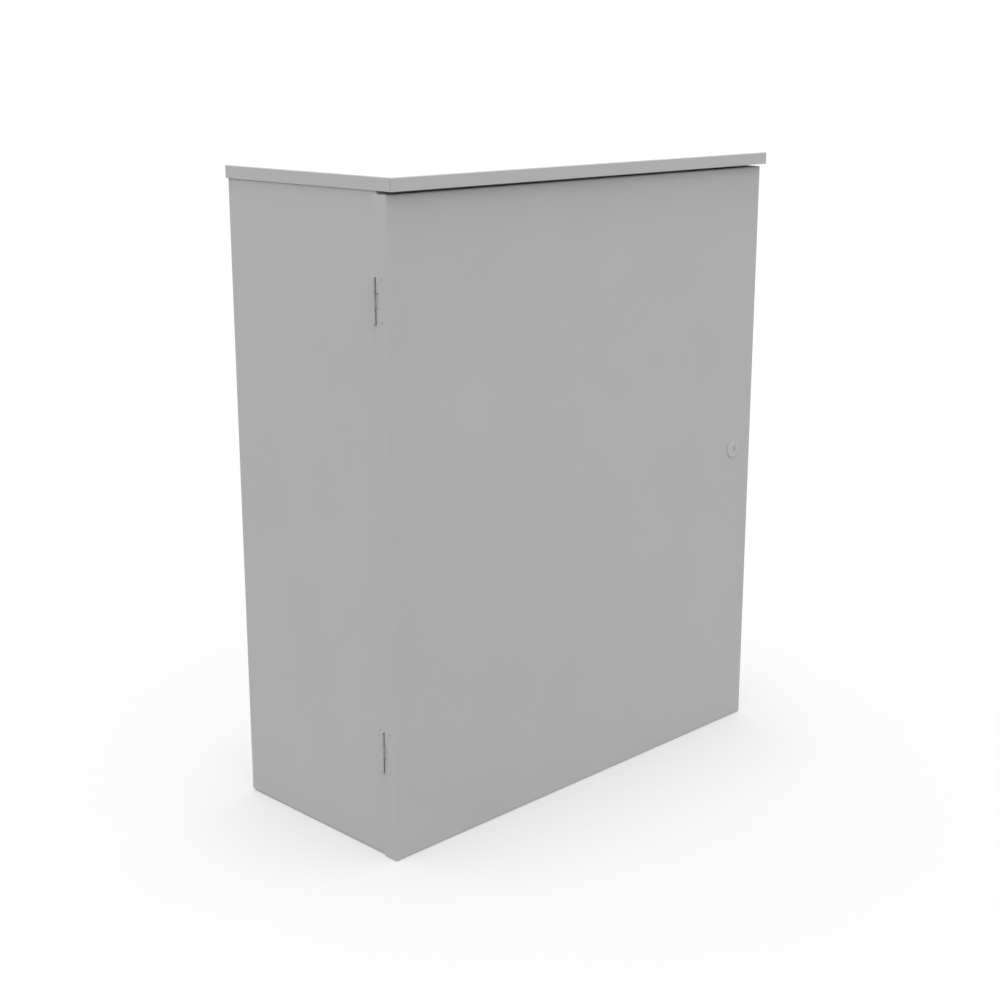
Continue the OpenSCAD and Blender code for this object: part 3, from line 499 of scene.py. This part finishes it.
def threaded_stud(name, finish, collar, whole, shank, seat, pitch=1.25, depth_share=0.6, chamfer=0.4,
                  sunk=0.5, loops_a_turn=4, sides=20):
    """Stud on Z = 0: a plain collar up to its seat, then a screw thread that starts a little sunk in the
    collar and ends in a chamfer."""
    shape = turned_shape([(0, 0), (collar, 0), (collar, seat - chamfer), (collar - chamfer, seat), (0, seat)])
    depth = depth_share * pitch
    foot = seat - sunk
    steps = round(loops_a_turn * (whole - seat) / pitch)
    loops = []
    for i in range(steps + 1):
        z = foot + (whole - foot) * i / steps
        corners = []
        for a in angles(sides):
            groove = abs(2 * ((z / pitch - a / math.tau) % 1) - 1)
            corners.append((min(shank - depth * groove, shank - depth + whole - z), a, z))
        loops.append(polar(shape, corners))
    loops.append(polar(shape, [(shank / 2, a, whole) for a in angles(sides)]))
    skin(shape, loops)
    return put(name, finish, shape)


def turned_sizes(spots, way, slack=0.01):
    """Sizes of a turned solid whose axis lies along a way: its radius and length, the radius of its shank or
    bore, and the length of what is wider than its shank. The slack is a share of the shank's radius."""
    arms = [(spot - middle(spots)) / MM for spot in spots]
    rings = [(arm.cross(way).length, arm.dot(way)) for arm in arms]
    thin = min(r for r, _ in rings)
    whole = max(z for _, z in rings) - min(z for _, z in rings)
    thin_levels = [z for r, z in rings if r < (1 + slack) * thin]
    head = whole - (max(thin_levels) - min(thin_levels))
    return [round(size, 2) for size in (max(r for r, _ in rings), whole, thin, head)]


def fasteners(node, maker, facing, turn, seed):
    """Draws a screw, nut or stud at every solid of a CAD piece, in the solid's own sizes."""
    way = facing.to_matrix() @ Vector((0, 0, 1))
    groups = solids(node)
    radius, whole, thin, head = turned_sizes(groups[0], way)
    piece = maker(node + "_one", nodes[node].data.materials[0], radius, whole, thin, head)
    top = max(vert.co.z for vert in piece.data.vertices)
    spots = [middle(group) + way * (whole / 2 * MM - top) for group in groups]
    stand_in(repeat(node + "_drawn", piece, spots, facing, turn, seed), node)


def screws_and_nuts():
    """Every screw gets its cross recess, every nut its chamfers and every stud its thread."""
    front, back = Euler((math.pi / 2, 0, 0)), Euler((-math.pi / 2, 0, 0))
    left, down, up = Euler((0, -math.pi / 2, 0)), Euler((math.pi, 0, 0)), Euler((0, 0, 0))
    fasteners("bracket_screws", pan_screw, front, turn=90, seed=1)
    fasteners("ring_screws", pan_screw, front, turn=90, seed=2)
    fasteners("earth_screws", pan_screw, front, turn=90, seed=3)
    fasteners("cam_screw", pan_screw, back, turn=0, seed=4)
    fasteners("hinge_screws", flat_screw, left, turn=90, seed=5)
    fasteners("gland_screws", flat_screw, down, turn=90, seed=6)
    fasteners("gland_nuts", hexagon, up, turn=60, seed=7)
    fasteners("hood_nuts", hexagon, up, turn=60, seed=8)
    fasteners("backboard_nuts", hexagon, front, turn=60, seed=9)
    fasteners("backboard_studs", threaded_stud, front, turn=360, seed=12)
    fasteners("earth_bolts", hexagon, front, turn=60, seed=13)
    fasteners("lock_nut", hexagon, back, turn=0, seed=10)


# Terminal blocks, earth bar and backboard

BLOCKS = ["terminal_block_1", "terminal_block_2", "terminal_block_3", "terminal_block_4"]


def contact_clips(rows=44, pitch=5.08, columns=(-18, -6.5, 6.5, 18), half_thick=0.5):
    """Rows of contact clips on the front of every terminal block: each has two spring tines with a slot
    between them that opens to a V, made to take a wire that comes in from the side. No wires are drawn. Sizes
    are in mm, and a tine's outline has distances from the slot's middle and from the block's front."""
    tine = [(0.2, -0.5), (1.4, -0.5), (1.4, 3.0), (1.1, 3.4), (0.8, 3.4), (0.2, 2.3)]
    shape = bmesh.new()
    for side in (1, -1):
        cheeks = [[shape.verts.new((x * MM, side * y * MM, z * MM)) for y, z in tine]
                  for x in (-half_thick, half_thick)]
        skin(shape, cheeks)
    clip = put("contact_clip", BRONZE, shape)
    spots = []
    for node in BLOCKS:
        centre = middle(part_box(node))
        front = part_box(node)[0].y
        for row in range(rows):
            rise = (row - (rows - 1) / 2) * pitch
            spots += [(centre.x + column * MM, front, centre.z + rise * MM) for column in columns]
    clips = repeat("contact_clips", clip, spots, Euler((math.pi / 2, 0, 0)), turn=0, seed=11)
    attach(clips, BODY[BLOCKS[0]])


def eased(node, width, flat_turn=1, sharp_turn=40):
    """Shows a CAD piece with its sharp corners broken by a small round, of a width in mm. Faces that turn by
    less than flat_turn degrees are joined first, and edges that turn by more than sharp_turn are rounded.
    The bevel marks its own faces as material 1, so that only they are shaded smooth, and the CAD piece's
    own normals, which no longer fit, go."""
    shape = cad_copy(node)
    bmesh.ops.dissolve_limit(shape, angle_limit=math.radians(flat_turn), verts=shape.verts, edges=shape.edges)
    sharp = [e for e in shape.edges if e.is_manifold and e.calc_face_angle() > math.radians(sharp_turn)]
    bmesh.ops.bevel(shape, geom=sharp, offset=width * MM, offset_type="OFFSET", segments=2, profile=0.5,
                    affect="EDGES", clamp_overlap=True, material=1)
    smooth = [face.material_index == 1 for face in shape.faces]
    for face in shape.faces:
        face.material_index = 0
    piece = put(node + "_eased", nodes[node].data.materials[0], shape, corner=60)
    if "custom_normal" in piece.data.attributes:
        piece.data.attributes.remove(piece.data.attributes["custom_normal"])
    piece.data.polygons.foreach_set("use_smooth", smooth)
    stand_in(piece, node)


screws_and_nuts()
contact_clips()
for block in BLOCKS:
    eased(block, width=0.5)
eased("earth_bar", width=0.6)
eased("backboard", width=0.8)


# Light, floor and camera

def looked_at(tree):
    """1 where the camera, a reflection or a glass looks at the studio, and 0 where the studio only gives
    light."""
    path = add(tree, "ShaderNodeLightPath").outputs
    bounced = add(tree, "ShaderNodeMath", {"operation": "MAXIMUM"}, Value_0=path["Is Glossy Ray"],
                  Value_1=path["Is Transmission Ray"])
    return add(tree, "ShaderNodeMath", {"operation": "MAXIMUM"}, Value_0=path["Is Camera Ray"],
               Value_1=bounced)


def surroundings(light):
    """White all round, which gives light at its own strength."""
    scene.world = bpy.data.worlds.new("white_surroundings")
    scene.world.use_nodes = True
    tree = scene.world.node_tree
    tree.nodes.clear()
    level = add(tree, "ShaderNodeMapRange", Value=looked_at(tree), To_Min=light, To_Max=1.0)
    sky = add(tree, "ShaderNodeBackground", Color=srgb("#ffffff"), Strength=level)
    add(tree, "ShaderNodeOutputWorld", Surface=sky)


def overhead_softbox(energy, angle):
    """One wide, soft lamp straight above."""
    lamp = bpy.data.lights.new("overhead_softbox", "SUN")
    lamp.energy = energy
    lamp.angle = math.radians(angle)
    scene.collection.objects.link(bpy.data.objects.new("overhead_softbox", lamp))


def pale_floor(reach, light, look, glow):
    """Matt floor that throws little light back at the cabinet. Where it is looked at it is lighter, and
    partly white of its own, so that it is white far off and keeps a pale shadow."""
    mesh = bpy.data.meshes.new("floor")
    mesh.from_pydata([(-reach, -reach, 0), (reach, -reach, 0), (reach, reach, 0), (-reach, reach, 0)], [],
                     [(0, 1, 2, 3)])
    finish, tree, _ = start("floor_white")
    seen = looked_at(tree)
    level = add(tree, "ShaderNodeMapRange", Value=seen, To_Min=light, To_Max=look)
    matt = add(tree, "ShaderNodeBsdfDiffuse", Color=level)
    white = add(tree, "ShaderNodeEmission", Color=srgb("#ffffff"), Strength=1.0)
    share = add(tree, "ShaderNodeMath", {"operation": "MULTIPLY"}, Value_0=seen, Value_1=glow)
    both = add(tree, "ShaderNodeMixShader", Fac=share, Shader_0=matt, Shader_1=white)
    add(tree, "ShaderNodeOutputMaterial", Surface=both)
    mesh.materials.append(finish)
    floor = bpy.data.objects.new("floor", mesh)
    scene.collection.objects.link(floor)


def photo_camera(place, tilt, turn, lens, shift):
    """The camera of the photograph, tilted down and turned from +Y by degrees."""
    view = bpy.data.cameras.new("camera")
    view.lens = lens
    view.shift_y = shift
    view.clip_end = 200
    camera = bpy.data.objects.new("camera", view)
    camera.location = place
    camera.rotation_euler = (math.radians(90 - tilt), 0, math.radians(turn))
    scene.collection.objects.link(camera)
    scene.camera = camera


scene.view_settings.view_transform = "Standard"
surroundings(light=1.65)
overhead_softbox(energy=3.3, angle=28)
pale_floor(reach=60, light=0.07, look=0.382, glow=0.48)
photo_camera(place=(-1.7452, -1.7238, 1.0646), tilt=14.903, turn=-44.968, lens=60.2, shift=-0.0027)
